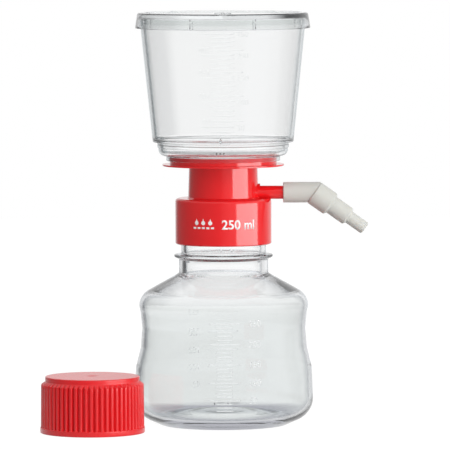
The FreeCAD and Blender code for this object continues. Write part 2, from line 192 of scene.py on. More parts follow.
# %% How clear each face is
WATER_CLEAR = (0.985, 0.99, 0.99, 1)
HAZY = (0.872, 0.890, 0.887, 1)
# The heel's dark violet is painted shade, laid on the bottom of the wall.
PAINTED_HEEL_SHADE = (0.34, 0.34, 0.39, 1)
HEEL_RADII = 20 * MM, 27 * MM           # the base is clear inside the first
HEEL_HEIGHTS = 6.5 * MM, 1.5 * MM       # and full violet below the second
BLOWN_HEIGHTS = 55 * MM, 70 * MM        # the blown wall is hazy up to the shoulder
LID_EDGE_HEIGHTS = 200 * MM, 201 * MM


def bottle_face(nodes, place):
    """Water clear in the neck, a little hazy in the blown wall, and a painted violet shade in the
    heel.
    """
    height = nodes.split(place)[2]
    flat = nodes.add("VectorMath", {"operation": "MULTIPLY"}, {0: place, 1: (1, 1, 0)})
    radius = nodes.add("VectorMath", {"operation": "LENGTH"}, {0: flat}, output="Value")
    heel_shade = nodes.between(radius, *HEEL_RADII) * nodes.between(height, *HEEL_HEIGHTS)
    wall = nodes.mix(nodes.between(height, *BLOWN_HEIGHTS), HAZY, WATER_CLEAR)
    return nodes.mix(heel_shade, wall, PAINTED_HEEL_SHADE)


def funnel_face(nodes, place):
    """Water clear all over."""
    return WATER_CLEAR


def lid_face(nodes, place):
    """Water clear, and slightly hazy in the raised edge on top."""
    height = nodes.split(place)[2]
    return nodes.mix(nodes.between(height, *LID_EDGE_HEIGHTS), WATER_CLEAR, HAZY)


# %% Clear plastic
POLYSTYRENE_IOR = 1.57
DULL_MIRROR = (0.55, 0.57, 0.62, 1)
ABSORPTION_TINT = (0.58, 0.60, 0.65, 1)
# Past these facings the outline gets a painted shade, the edge colour.
PAINTED_OUTLINE_FACING = 0.63, 0.82        # Facing is 0 head on and 1 edge on; the outline lies past these


def clear_plastic(name, wave_size, wave_depth, density, edge, face_of):
    """Edge is the painted shade on the outline, and face_of gives the colour of the rest."""
    material, nodes, place = new_material(name)
    face = face_of(nodes, place)
    facing = nodes.add("LayerWeight", None, {"Blend": 0.5}, output="Facing")
    waves = nodes.noise(place, wave_size, 1.0)
    haze = nodes.noise(place, 4 * wave_size, 3.0)
    surface = nodes.add("BsdfPrincipled", None, {
        # Painted shade: the colour turns to edge where the wall turns away from the eye.
        "Base Color": nodes.mix(nodes.between(facing, *PAINTED_OUTLINE_FACING), face, edge),
        "Roughness": haze * 0.02,
        "IOR": POLYSTYRENE_IOR,
        "Specular Tint": DULL_MIRROR,
        "Transmission Weight": 1.0,
        "Normal": nodes.bump(waves, wave_depth),
    })
    inside = nodes.add(
        "VolumeAbsorption", None, {"Color": ABSORPTION_TINT, "Density": density})
    nodes.show(lets_light_in(nodes, surface), inside)
    return material


# The fifth argument is the painted shade on each wall's outline.
bottle_plastic = clear_plastic(
    "bottle_plastic", 14 * MM, 0.020 * MM, 22, (0.21, 0.23, 0.26, 1), bottle_face)
funnel_plastic = clear_plastic(
    "funnel_plastic", 18 * MM, 0.006 * MM, 30, (0.11, 0.15, 0.165, 1), funnel_face)
lid_plastic = clear_plastic(
    "lid_plastic", 18 * MM, 0.006 * MM, 4, (0.60, 0.62, 0.67, 1), lid_face)

# %% [markdown]
# ## Raised marks
#
# The lines and numbers of the scales stand on the wall and are moulded with it. As small blocks
# of the same plastic they would come out nearly black, because each bends the view far aside.
# The real ones have worn, rounded edges and look pale. So they bend light less than the wall
# does, and a faint emission paints on them the light that they gather from the wall.

# %% Raised marks
def raised_marks(name, ior, glow):
    """The plastic of marks: `ior` sets how dark they get, `glow` a painted light that makes them
    pale.
    """
    material, nodes, place = new_material(name)
    grain = nodes.noise(place, 0.5 * MM, 2.0)
    surface = nodes.add("BsdfPrincipled", None, {
        "Base Color": nodes.mix(grain, (0.96, 0.97, 0.97, 1), (0.99, 0.99, 0.99, 1)),
        "Roughness": grain * 0.02,
        "IOR": ior,
        "Transmission Weight": 1.0,
        # Painted light: the marks glow white, in place of light gathered from the wall.
        "Emission Color": (1, 1, 1, 1),
        "Emission Strength": glow,
        "Normal": nodes.bump(grain, 0.002 * MM),
    })
    nodes.show(lets_light_in(nodes, surface))
    return material


bottle_marks = raised_marks("bottle_marks", 1.30, 0.05)
funnel_marks = raised_marks("funnel_marks", 1.10, 0.015)

# %% [markdown]
# ## Red plastic
#
# Adapter and cap are the same red polypropylene, but their moulds were finished differently.
# The adapter's is polished, so a window shows in it with clear edges. The cap's is blasted, so
# light spreads over it. One function makes both: the roughness and the depth of the fine grain
# change. The cap's red is also set a little darker, as painted shade.

# %% Red plastic
POLYPROPYLENE_IOR = 1.49
GRAIN_SPREAD = 0.06         # how much the roughness varies from grain to grain


def red_plastic(name, roughness, grain_depth, dark, light):
    """The colour drifts between dark and light in wide clouds."""
    material, nodes, place = new_material(name)
    clouds = nodes.noise(place, 22 * MM, 3.0)
    grain = nodes.noise(place, 0.45 * MM, 2.0)
    flow = nodes.noise(place, 9 * MM, 1.0)
    colour = nodes.mix(clouds, dark, light)
    surface = nodes.add("BsdfPrincipled", None, {
        "Base Color": colour,
        "Roughness": grain * GRAIN_SPREAD + (roughness - GRAIN_SPREAD / 2),
        "IOR": POLYPROPYLENE_IOR,
        "Normal": nodes.bump(grain + flow * 3.0, grain_depth),
    })
    nodes.show(surface)
    return material


polished_red = red_plastic(
    "polished_red", 0.10, 0.002 * MM, (0.70, 0.011, 0.014, 1), (0.77, 0.014, 0.017, 1))
# The cap's colours are a little darker than the adapter's: painted shade.
blasted_shaded_red = red_plastic(
    "blasted_shaded_red", 0.24, 0.008 * MM, (0.68, 0.008, 0.012, 1), (0.75, 0.010, 0.014, 1))

# %% [markdown]
# ## The other finishes
#
# The hose connector is uncoloured polypropylene: milky, a little see-through, so light goes in
# and comes out warmer. Subsurface light gives that. The membrane is a fine white felt of
# polymer, the gasket a grey-white rubber, and the plug in the arm is white wool. The print on
# the collar is white ink, slightly uneven.

# %% Milky plastic, membrane, gasket, wool and ink
def milky_plastic():
    """The hose connector's uncoloured polypropylene."""
    material, nodes, place = new_material("milky_plastic")
    clouds = nodes.noise(place, 12 * MM, 3.0)
    grain = nodes.noise(place, 0.8 * MM, 3.0)
    surface = nodes.add("BsdfPrincipled", None, {
        "Base Color": nodes.mix(clouds, (0.53, 0.53, 0.49, 1), (0.58, 0.58, 0.55, 1)),
        "Roughness": grain * 0.1 + 0.38,
        "IOR": POLYPROPYLENE_IOR,
        "Subsurface Weight": 0.35,
        "Subsurface Radius": (1.0, 0.9, 0.75),
        "Subsurface Scale": 2.5 * MM,
        "Normal": nodes.bump(grain, 0.02 * MM),
    })
    nodes.show(surface)
    return material


def soft_white(name, dark, light, grain_size, grain_depth, roughness):
    """A matt grainy white, for felt, rubber, wool and ink."""
    material, nodes, place = new_material(name)
    grain = nodes.noise(place, grain_size, 4.0)
    surface = nodes.add("BsdfPrincipled", None, {
        "Base Color": nodes.mix(grain, dark, light),
        "Roughness": grain * 0.1 + (roughness - 0.05),
        "Normal": nodes.bump(grain, grain_depth),
    })
    nodes.show(surface)
    return material


connector_plastic = milky_plastic()
membrane_felt = soft_white(
    "membrane_felt", (0.80, 0.80, 0.79, 1), (0.90, 0.90, 0.89, 1), 0.3 * MM, 0.01 * MM, 0.8)
gasket_rubber = soft_white(
    "gasket_rubber", (0.62, 0.62, 0.60, 1), (0.70, 0.70, 0.68, 1), 0.6 * MM, 0.01 * MM, 0.55)
white_wool = soft_white(
    "white_wool", (0.66, 0.66, 0.63, 1), (0.90, 0.90, 0.88, 1), 0.4 * MM, 0.15 * MM, 0.95)
white_ink = soft_white(
    "white_ink", (0.83, 0.80, 0.80, 1), (0.92, 0.90, 0.90, 1), 0.3 * MM, 0.004 * MM, 0.4)

# %% [markdown]
# ## Turned shapes
#
# Bottle, funnel, lid and cap are shapes of revolution, so each is drawn as half a section and
# spun. A corner is a radius, a height and how round it is, in millimetres. The corners become a
# wire, Blender's bevel on single vertices turns each into a true arc, and long straight runs are
# cut into short ones. The short runs keep the smooth shading of a small rounding from spreading
# over the whole wall, which clear plastic would show as a lens.

# %% Draw, round and spin a section
LONGEST_RUN = 1.6 * MM
ARC_STEP = math.radians(11)
CLEAR_STEPS = 192           # round a clear wall, which shows every flat


def section_wire(corners, closed=True):
    """A bmesh with the section's wire in the XZ plane."""
    bm = bmesh.new()
    spots = [bm.verts.new((r * MM, 0, z * MM)) for r, z, _ in corners]
    pairs = list(zip(spots, spots[1:]))
    if closed:
        pairs.append((spots[-1], spots[0]))
    for pair in pairs:
        bm.edges.new(pair)
    for vert, (_, _, rounding) in zip(spots, corners):
        if rounding:
            round_corner(bm, vert, rounding * MM)
    for edge in list(bm.edges):
        cuts = math.ceil(edge.calc_length() / LONGEST_RUN) - 1
        if cuts > 0:
            bmesh.ops.subdivide_edges(bm, edges=[edge], cuts=cuts)
    return bm


def round_corner(bm, vert, radius):
    """Replaces a corner of the wire by an arc that touches both of its edges."""
    before, after = (edge.other_vert(vert).co - vert.co for edge in vert.link_edges)
    turn = math.pi - before.angle(after)
    bmesh.ops.bevel(
        bm, geom=[vert], affect="VERTICES", offset=radius * math.tan(turn / 2),
        offset_type="OFFSET", segments=max(2, math.ceil(turn / ARC_STEP)), profile=0.5,
        material=-1)


def spin_section(bm, steps, sectors=12):
    """Spins the wire into one sector, copies the sector round Z and welds the shell."""
    turn = {"cent": (0, 0, 0), "axis": (0, 0, 1)}
    bmesh.ops.spin(
        bm, geom=bm.verts[:] + bm.edges[:], angle=2 * math.pi / sectors,
        steps=steps // sectors, **turn)
    bmesh.ops.spin(
        bm, geom=bm.verts[:] + bm.edges[:] + bm.faces[:], angle=2 * math.pi, steps=sectors,
        use_duplicate=True, **turn)
    bmesh.ops.remove_doubles(bm, verts=bm.verts, dist=1e-6)
    bmesh.ops.recalc_face_normals(bm, faces=bm.faces)
    return bm


def add_piece(name, bm, material, body, slot, *stands_for):
    """Makes the object, and has it ride on a body in place of its CAD nodes."""
    mesh = bpy.data.meshes.new(name)
    bm.to_mesh(mesh)
    bm.free()
    mesh.shade_smooth()
    mesh.materials.append(material)
    piece = bpy.data.objects.new(name, mesh)
    bpy.context.scene.collection.objects.link(piece)
    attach(piece, body)
    if stands_for:
        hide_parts(*stands_for)
    triangles = sum(len(face.vertices) - 2 for face in mesh.polygons)
    print(f"{name}: {triangles} triangles")
    return piece


# %% [markdown]
# ## The receiver bottle
#
# The bottle is injection-blown in one piece: a neck with a 45 mm thread and a support bead, a
# sloping shoulder, a waist to hold it by, and a base pushed up inside a standing ring. The wall
# is thin on the sides and thick at the heel, where the plastic cools last, so the inside has an
# outline of its own rather than an even offset of the outside.

# %% Outline of the bottle
foot_z, lip_z = (corner.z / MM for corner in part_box("bottle"))

NECK_RADIUS = 21.2
bottle_outside = [
    (0, 3.6, 0),            # pushed-up base
    (14, 3.6, 10),
    (27.6, 0, 2),           # standing ring
    (31.6, 0, 2),
    (45, 6, 11),            # heel, the widest part
    (44, 29.5, 5),
    (38.8, 43.6, 46),       # waist
    (42.3, 59.5, 4),
    (42.3, 64.8, 8),        # shoulder
    (22.4, 76, 0.5),        # root of the neck
    (22.4, 83, 0.5),
    (24.7, 84.1, 0.5),      # support bead
    (24.7, 85.2, 0.5),
    (NECK_RADIUS, 85.9, 0.5),
    (NECK_RADIUS, lip_z, 0.5),
]
bottle_inside = [
    (19, lip_z, 0.5),
    (19, 74.8, 1.5),        # throat
    (40.7, 63.9, 6.4),
    (40.7, 59.3, 5.6),
    (37.2, 43.6, 47.6),
    (42.3, 29.5, 6.6),
    (43.2, 7.6, 9.0),
    (30.5, 2.2, 5.0),
    (25.5, 2.2, 4.0),
    (17, 4.9, 14),
    (0, 5.2, 0),
]

# %% [markdown]
# ## The neck's thread
#
# A thread is a ridge that climbs four millimetres with each turn. It could be a curve with a
# bevel, but a second skin of clear plastic over the neck would show as a seam. So the ridge is
# raised out of the neck's own rows of vertices: each vertex near the helix moves outward, by a
# rounded amount that fades at both ends of the thread.

# %% Raise a thread out of a wall
PITCH = 4.0
THREAD_TURNS = 4.0
THREAD_DEPTH = 1.25
THREAD_HALF_WIDTH = 1.25
THREAD_FLANK = 1.9          # above 1, the ridge has a crest between its flanks
THREAD_FADE = 0.12          # length of each run-out, in turns
THREAD_START = lip_z - 19.5
NECK_FOOT = 87              # the neck's own rows of vertices begin above this height
ROW_CUTS = 4


def thread_height(angle, z):
    """How far the thread stands proud at an angle and a height, in millimetres."""
    share = angle / (2 * math.pi) % 1
    count = round((z - THREAD_START) / PITCH - share)
    along = count + share
    away = abs(z - THREAD_START - PITCH * along) / THREAD_HALF_WIDTH
    begin = min(1, max(0, along / THREAD_FADE))
    end = min(1, max(0, (THREAD_TURNS - along) / THREAD_FADE))
    return THREAD_DEPTH * (begin * end) * min(1, max(0, 1 - away) * THREAD_FLANK)


def raise_thread(bm):
    """Moves each vertex of the neck's outer wall out by the thread's height there."""
    for vert in bm.verts:
        radius = vert.co.xy.length
        if abs(radius - NECK_RADIUS * MM) < 0.02 * MM:
            angle = math.atan2(vert.co.y, vert.co.x)
            height = thread_height(angle, vert.co.z / MM)
            vert.co.xy *= 1 + height * MM / radius


def on_neck(vert):
    """Whether a point of the wire lies on the neck's outer wall."""
    return abs(vert.co.x - NECK_RADIUS * MM) < 1e-6 and vert.co.z > NECK_FOOT * MM


# %% Turn the bottle
bottle_wire = section_wire(bottle_outside + bottle_inside, closed=False)
neck_runs = [edge for edge in bottle_wire.edges if all(on_neck(v) for v in edge.verts)]
bmesh.ops.subdivide_edges(bottle_wire, edges=neck_runs, cuts=ROW_CUTS)
bottle_shell = spin_section(bottle_wire, CLEAR_STEPS)
raise_thread(bottle_shell)
bottle = add_piece(
    "bottle_shell", bottle_shell, bottle_plastic, "receiver", "clear_plastic", "bottle")

# %% [markdown]
# ## The funnel
#
# The funnel is moulded in one shot: a ring that grips the adapter's upstand, a rounded bowl over
# the membrane, two small steps, and a tall cone up to an upright mouth. One wall thickness runs
# through it all. Heights are counted from the hem of its ring.

# %% Turn the funnel
hem_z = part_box("funnel")[0].z / MM


def lifted(corners, rise):
    """The same corners, raised."""
    return [(radius, height + rise, rounding) for radius, height, rounding in corners]


funnel_outside = [
    (24.3, 2.4, 0),
    (26.9, 2.4, 0.2),       # ring round the adapter's upstand
    (26.9, 0, 0.3),
    (28.5, 0, 0.3),
    (28.5, 2.4, 0.4),
    (32.4, 2.4, 3.2),       # bowl
    (32.4, 6.6, 0.3),
    (32.9, 6.6, 0.3),       # band
    (32.9, 9.3, 0.3),
    (35.2, 9.3, 0.6),       # cone
    (41.0, 65.8, 3.0),
    (41.0, 71.4, 0.5),      # mouth
]
funnel_inside = [
    (39.55, 71.4, 0.5),
    (39.55, 65.9, 3.0),
    (33.9, 10.75, 0.9),
    (31.45, 10.75, 0.4),
    (31.45, 8.0, 0.3),
    (30.95, 8.0, 0.3),
    (30.95, 3.85, 1.75),
    (24.3, 3.85, 0.2),
]
funnel_wire = section_wire(lifted(funnel_outside + funnel_inside, hem_z))
funnel = add_piece(
    "funnel_shell", spin_section(funnel_wire, CLEAR_STEPS), funnel_plastic,
    "filter_head", "clear_plastic", "funnel")

# %% [markdown]
# ## The lid
#
# The lid is a flat disc with a raised edge and a skirt that flares a little, so it drops over
# the mouth without jamming. Eight small ribs inside the skirt centre it. Each rib starts as a
# cube, is scaled to its size and turned into place.

# %% Turn the lid and add its ribs
skirt_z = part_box("lid")[0].z / MM

LID_RIB_COUNT = 8
lid_section = [
    (0, 5.3, 0),
    (41.6, 5.3, 0.3),
    (42.8, 0, 0.3),
    (43.8, 0, 0.3),
    (42.6, 7.8, 1.2),
    (39.2, 7.8, 0.5),
    (38.5, 7.1, 0.5),
    (4.3, 7.1, 0.3),        # ring round the gate
    (4.0, 7.6, 0.2),
    (2.8, 7.6, 0.2),
    (2.3, 6.8, 0.3),
    (0, 6.75, 0),
]


def rib_block(low, high, angle):
    """A block between two corners, turned about Z."""
    bm = bmesh.new()
    bmesh.ops.create_cube(bm, size=1)
    size, middle = high - low, (low + high) / 2
    bmesh.ops.scale(bm, vec=size, verts=bm.verts)
    bmesh.ops.translate(bm, vec=middle, verts=bm.verts)
    bmesh.ops.rotate(bm, matrix=Matrix.Rotation(angle, 3, "Z"), verts=bm.verts)
    return bm


def join(bm, extra):
    """Adds one bmesh to another."""
    mesh = bpy.data.meshes.new("join")
    extra.to_mesh(mesh)
    extra.free()
    bm.from_mesh(mesh)
    bpy.data.meshes.remove(mesh)


lid_wire = section_wire(lifted(lid_section, skirt_z), closed=False)
lid = add_piece(
    "lid_shell", spin_section(lid_wire, CLEAR_STEPS), lid_plastic,
    "lid", "clear_plastic", "lid")
lid_ribs = bmesh.new()
rib_low = Vector((41.35, -0.2, skirt_z + 0.6)) * MM
rib_high = Vector((41.9, 0.2, skirt_z + 5.2)) * MM
for number in range(LID_RIB_COUNT):
    turn = (number + 0.5) * 360 / LID_RIB_COUNT
    join(lid_ribs, rib_block(rib_low, rib_high, math.radians(turn)))
add_piece("lid_ribs", lid_ribs, funnel_plastic, "lid", "clear_plastic")

# %% [markdown]
# ## The storage cap
#
# The cap stands mouth down. Sixty grooves give the fingers a grip, and between the grooves stand
# rounded ribs that run out on the chamfer under the smooth top. Modelling sixty ribs one by one
# would be slow and heavy. Instead the section is spun in very fine steps, and every vertex of
# the side moves in to a ribbed cylinder if it stands outside it. The chamfer is already inside
# that cylinder at its top, so the grooves end there by themselves, as a cutter would leave them.

# %% Turn the cap and cut its grooves
cap_low, cap_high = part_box("storage_cap")
cap_centre = (cap_low + cap_high) / 2
cap_section = [
    (0, 27.5, 0),
    (1.6, 27.55, 0.5),      # gate dimple
    (3.2, 27.9, 0.5),
    (23.3, 27.9, 0.5),
    (23.3, 25.5, 0.4),      # smooth band round the top
    (25.35, 23.9, 0.5),
    (25.55, 2.9, 0.1),
    (25.85, 2.6, 0.1),      # smooth band round the mouth
    (25.85, 0, 0.5),
    (22.75, 0, 0.3),
    (22.75, 26.1, 1.5),
    (20.5, 26.1, 0),
    (20.5, 24.9, 0.2),      # sealing ring
    (19.7, 24.9, 0.2),
    (19.7, 26.1, 0),
    (0, 26.1, 0),
]
RIB_COUNT = 60
STEPS_PER_RIB = 10
GROOVE_FLOOR = 23.6
RIB_HEIGHT = 1.95
RIB_HALF_WIDTH = 0.38       # share of the distance between two ribs
RIB_BLUNTNESS = 3           # 2 would make the ribs round, more makes them flatter on top
SKIN_RADIUS = 23            # everything outside this, between these heights, is the ribbed side
SKIN_HEIGHTS = 2.8, 25.4


def ribbed_radius(angle):
    """Radius of the ribbed cylinder, in millimetres."""
    turn = angle * RIB_COUNT / (2 * math.pi)
    across = min(1, abs(turn - round(turn)) / RIB_HALF_WIDTH)
    return GROOVE_FLOOR + RIB_HEIGHT * math.sqrt(1 - across ** RIB_BLUNTNESS)


def cut_grooves(bm):
    """Moves in what stands outside the ribbed cylinder."""
    lowest, highest = SKIN_HEIGHTS
    for vert in bm.verts:
        radius, height = vert.co.xy.length, vert.co.z / MM
        if radius > SKIN_RADIUS * MM and lowest < height < highest:
            limit = ribbed_radius(math.atan2(vert.co.y, vert.co.x)) * MM
            if radius > limit:
                vert.co.xy *= limit / radius


cap_shell = spin_section(section_wire(cap_section, closed=False), RIB_COUNT * STEPS_PER_RIB)
cut_grooves(cap_shell)
bmesh.ops.translate(cap_shell, vec=(cap_centre.x, cap_centre.y, 0), verts=cap_shell.verts)
add_piece("ribbed_cap", cap_shell, blasted_shaded_red, "receiver", "red_plastic", "storage_cap")

# %% [markdown]
# ## Scales on funnel and bottle
#
# Both walls carry raised lines every ten millilitres and a number every fifty, once in front and
# once behind. Their heights aren't drawn, they are worked out: a ray from the axis finds the
# inner wall at each height, thin discs of that radius are added up from the floor, and a line
# goes where the sum reaches its volume. So the scales read true, and their spacing follows the
# waist and the cone by itself.

# %% Where each volume stands
DISC_HEIGHT = 0.1
CUBIC_MM_PER_ML = 1000
BOTTLE_FLOOR = 6.9          # above the foot, as if the pushed-up base were flat
FUNNEL_FLOOR = 2.4          # the membrane, above the hem


def wall_radius(piece, z, outside):
    """Distance from the axis to a wall at height z, in millimetres, on the -Y side."""
    start = Vector((0.0001, -0.2 if outside else 0, z * MM))
    hit, spot, _, _ = piece.ray_cast(start, Vector((0, 1 if outside else -1, 0)))
    return -spot.y / MM if hit else None


def fill_heights(piece, floor_z, volumes):
    """Height of the surface for each volume in millilitres."""
    heights, volume, z = {}, 0.0, floor_z
    for wanted in volumes:
        while volume < wanted:
            z += DISC_HEIGHT
            section = math.pi * wall_radius(piece, z, outside=False) ** 2
            volume += section * DISC_HEIGHT / CUBIC_MM_PER_ML
        heights[wanted] = z
    return heights


volumes = range(10, 251, 10)
bottle_levels = fill_heights(bottle, foot_z + BOTTLE_FLOOR, volumes)
funnel_levels = fill_heights(funnel, hem_z + FUNNEL_FLOOR, volumes)
for volume in (50, 100, 150, 200, 250):
    print(f"{volume} ml: bottle {bottle_levels[volume]:.1f}, funnel {funnel_levels[volume]:.1f} mm")

# %% [markdown]
# ## Raised lines and numbers
#
# Each mark is modelled flat, in millimetres along the wall and up it, and then bent onto the
# wall: its distance along becomes an angle, and its thickness is added to the wall's radius at
# that height. The numbers start as text and are made a mesh first. The same bend carries the
# print round the collar.

# %% Flat marks
LINE_ROUNDING = 0.3         # share of a line's width
LINE_CUTS = 7               # so that a long line can follow the curve of the wall
CAPITAL_SHARE = 0.72        # height of a capital over the size of the font


def flat_line(left, right, z, width, depth):
    """A bar with rounded top edges, its underside on the wall."""
    bm = bmesh.new()
    bmesh.ops.create_cube(bm, size=1)
    bmesh.ops.scale(bm, vec=(right - left, width, depth), verts=bm.verts)
    bmesh.ops.translate(bm, vec=((left + right) / 2, z, depth / 2), verts=bm.verts)
    top_edges = [e for e in bm.edges if all(v.co.z > depth / 2 for v in e.verts)]
    bmesh.ops.bevel(
        bm, geom=top_edges, affect="EDGES", offset=width * LINE_ROUNDING, segments=2,
        profile=0.5, material=-1)
    long_edges = [e for e in bm.edges if abs(e.verts[0].co.x - e.verts[1].co.x) > width]
    bmesh.ops.subdivide_edges(bm, edges=long_edges, cuts=LINE_CUTS)
    return bm


def flat_text(words, left, z, height, depth, weight=0.0):
    """Words whose capitals are `height` tall, their middle at z; weight thickens the strokes."""
    text = bpy.data.curves.new("words", "FONT")
    text.body = words
    text.size = height / CAPITAL_SHARE
    text.extrude = depth / 2
    text.offset = weight
    holder = bpy.data.objects.new("words", text)
    bpy.context.scene.collection.objects.link(holder)
    bpy.context.view_layer.update()
    mesh = bpy.data.meshes.new_from_object(holder)
    bm = bmesh.new()
    bm.from_mesh(mesh)
    bmesh.ops.translate(bm, vec=(left, z - height / 2, depth / 2), verts=bm.verts)
    bmesh.ops.remove_doubles(bm, verts=bm.verts, dist=1e-5)
    bpy.data.objects.remove(holder)
    bpy.data.curves.remove(text)
    bpy.data.meshes.remove(mesh)
    return bm


# %% Bend a flat drawing onto a wall
def bend_onto(bm, radius_at, heading, gap):
    """Wraps (along, up, depth) round Z. Heading is the angle of the drawing's middle."""
    for vert in bm.verts:
        along, up, depth = vert.co
        radius = radius_at(up)
        angle = heading + along / radius
        reach = (radius + depth + gap) * MM
        vert.co = (math.cos(angle) * reach, math.sin(angle) * reach, up * MM)
    return bm


FRONT = math.radians(-90)
BACK = math.radians(90)

# %% The two scales
RELIEF = 0.3                # how far a mark stands proud, in millimetres
LINE_WIDTH = 0.5
MARK_GAP = 0.01             # keeps a mark's underside off the wall


def scale_marks(levels, long_line, short_line, number_left, number_height):
    """A flat scale: a long line and a number every fifty, short lines between."""
    bm = bmesh.new()
    for volume, z in levels.items():
        if volume % 50:
            left, right = short_line
        else:
            left, right = long_line
            join(bm, flat_text(str(volume), number_left, z, number_height, RELIEF))
        join(bm, flat_line(left, right, z, LINE_WIDTH, RELIEF))
    return bm


def add_scale(name, piece, body, material, **drawing):
    """One scale in front and one behind, as a single piece."""
    both = bmesh.new()
    radius_at = lambda z: wall_radius(piece, z, outside=True)
    for heading in (FRONT, BACK):
        join(both, bend_onto(scale_marks(**drawing), radius_at, heading, MARK_GAP))
    bmesh.ops.recalc_face_normals(both, faces=both.faces)
    return add_piece(name, both, material, body, "clear_plastic")


add_scale(
    "bottle_scale", bottle, "receiver", bottle_marks, levels=bottle_levels,
    long_line=(-7.5, 8.4), short_line=(-3.6, 4.4), number_left=12.5, number_height=3.2)
add_scale(
    "funnel_scale", funnel, "filter_head", funnel_marks, levels=funnel_levels,
    long_line=(-10.7, 5.4), short_line=(-6.0, 3.5), number_left=6.7, number_height=2.9)

# %% [markdown]
# ## Mould marks
#
# A mould leaves small raised marks of its own: a tick and three dashes on the funnel's foot, and
# a few bars each on the bottle's neck, under the collar, and on its heel, behind. They say
# nothing, but clear plastic shows them.

# %% Mould marks
def add_marks(name, piece, body, material, heading, marks):
    """Small raised bars on a wall; each mark is its left, right and middle, and its height."""
    drawing = bmesh.new()
    for left, right, z, tall in marks:
        join(drawing, flat_line(left, right, z, tall, RELIEF))
    bend_onto(drawing, lambda z: wall_radius(piece, z, outside=True), heading, MARK_GAP)
    bmesh.ops.recalc_face_normals(drawing, faces=drawing.faces)
    add_piece(name, drawing, material, body, "clear_plastic")


add_marks("foot_marks", funnel, "filter_head", funnel_plastic, FRONT, [
    (-1.45, -1.05, hem_z + 11.2, 2.6),
    (-3.5, -2.9, hem_z + 4.6, 1.4),
    (-1.7, -1.1, hem_z + 4.6, 1.4),
    (0.1, 0.7, hem_z + 4.6, 1.4),
])
add_marks("neck_marks", bottle, "receiver", bottle_marks, FRONT, [
    (-6.2, -3.4, 88.6, 0.5),
    (-5.2, -2.6, 87.5, 0.5),
    (-1.6, -0.8, 88.1, 1.6),
    (0.2, 2.6, 88.8, 0.5),
    (0.6, 2.2, 87.4, 0.5),
    (3.6, 4.4, 88.1, 1.6),
    (5.2, 8.2, 88.4, 0.5),
])
add_marks("heel_marks", bottle, "receiver", funnel_plastic, BACK, [
    (-8.0, -3.6, 4.7, 0.7),
    (-6.8, -4.4, 3.5, 0.7),
    (-2.4, -1.6, 4.1, 1.9),
    (0.0, 3.4, 4.8, 0.7),
    (0.8, 2.8, 3.4, 0.7),
    (4.6, 5.4, 4.1, 1.9),
])

# %% [markdown]
# ## Print on the collar
#
# The collar is pad-printed in white. The print here is generic: the unit's volume, and a small
# sign of drops over a sieve. It is cut as a very thin sheet and bent round the collar with the
# same function as the scales.

# %% Print
COLLAR_RADIUS = 24.05
PRINT_Z = 101.5             # middle of the words
CAPITAL_HEIGHT = 4.6
INK = 0.02                  # thickness of the print
INK_GAP = 0.03
SIEVE_LEFT, SIEVE_Z = -15.9, PRINT_Z - 1.8
DASH_LENGTH, DASH_SPACING, DASH_WIDTH = 1.6, 2.4, 0.95
DROP_LEFT, DROP_Z = -14.0, PRINT_Z + 0.7
DROP_RADIUS, DROP_SPACING, DROP_TIP = 1.05, 3.7, 1.2


def flat_drop(x, z):
    """A disc whose topmost point is pulled up to a tip."""
    bm = bmesh.new()
    bmesh.ops.create_circle(bm, cap_ends=True, segments=20, radius=DROP_RADIUS)
    top = max(bm.verts, key=lambda vert: vert.co.y)
    top.co.y += DROP_TIP
    bmesh.ops.translate(bm, vec=(x, z, INK), verts=bm.verts)
    return bm


def print_drawing():
    """Volume on the right, and on the left three drops over a sieve of five dashes."""
    bm = flat_text("250 ml", -0.9, PRINT_Z, CAPITAL_HEIGHT, INK, weight=0.14)
    for number in range(5):
        left = SIEVE_LEFT + number * DASH_SPACING
        join(bm, flat_line(left, left + DASH_LENGTH, SIEVE_Z, DASH_WIDTH, INK))
    for number in range(3):
        join(bm, flat_drop(DROP_LEFT + number * DROP_SPACING, DROP_Z))
    return bm


collar_print = bend_onto(print_drawing(), lambda z: COLLAR_RADIUS, FRONT, INK_GAP)
add_piece("collar_print", collar_print, white_ink, "filter_head", "white_wool")

# %% [markdown]
# ## Materials for the parts that keep their CAD mesh
#
# The adapter, the connector, the membrane, the gasket and the wool plug are right as the CAD
# made them, so they only change their material.

# %% Dress the CAD nodes
for node, material in {
    "neck_adapter": polished_red,
    "hose_connector": connector_plastic,
    "membrane": membrane_felt,
    "bottle_gasket": gasket_rubber,
    "vent_plug": white_wool,
}.items():
    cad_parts[node].data.materials.clear()
    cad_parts[node].data.materials.append(material)

# %% [markdown]
# ## Stage: what the studio shows
#
# The unit stands in a white studio. What the eye sees straight on, or straight through a clear
# wall, is white. What a surface mirrors is the studio round the unit, and that isn't all white:
# there is the white background behind, a dark side on the left, a dim room in front and a
# bright side on the right. Clear plastic gets its grey tone from this, and red plastic its depth.
# Light Path tells the two apart, because it counts how often a ray was mirrored.
#
# The tone is a row of soft steps along the horizon, each with its own rise for what is mirrored
# at once and for what a ray meets after it has been through a wall and was mirrored inside it.
#
# Near its outline a clear wall also bends the view a long way aside. There it needs something
# darker to show an edge, as black card does beside a glass in a studio. So what is seen through
# the plastic has eight narrow grey bands, evenly spread round the horizon. Faint fine bands
# between them give the streaks that a blown wall draws.

# %% What the studio shows in each direction
TONE_STEPS = [              # from and to, in degrees; rise when mirrored and when seen through
    (-158, -142, -0.62, -0.92),     # behind on the left it gets dark
    (-80, -72, 0.00, 0.29),         # left
    (-8, 18, 0.42, 0.25),           # front
    # The next step is painted light: the window's light on the table, a brighter tone in what is
    # mirrored.
    (26, 36, 0.50, 0.15),           # table below the window
    (86, 98, -0.75, -0.10),         # dark again right of the window
    (112, 140, 0.45, 0.20),         # white background
    (150, 162, 0.00, 0.35),
]


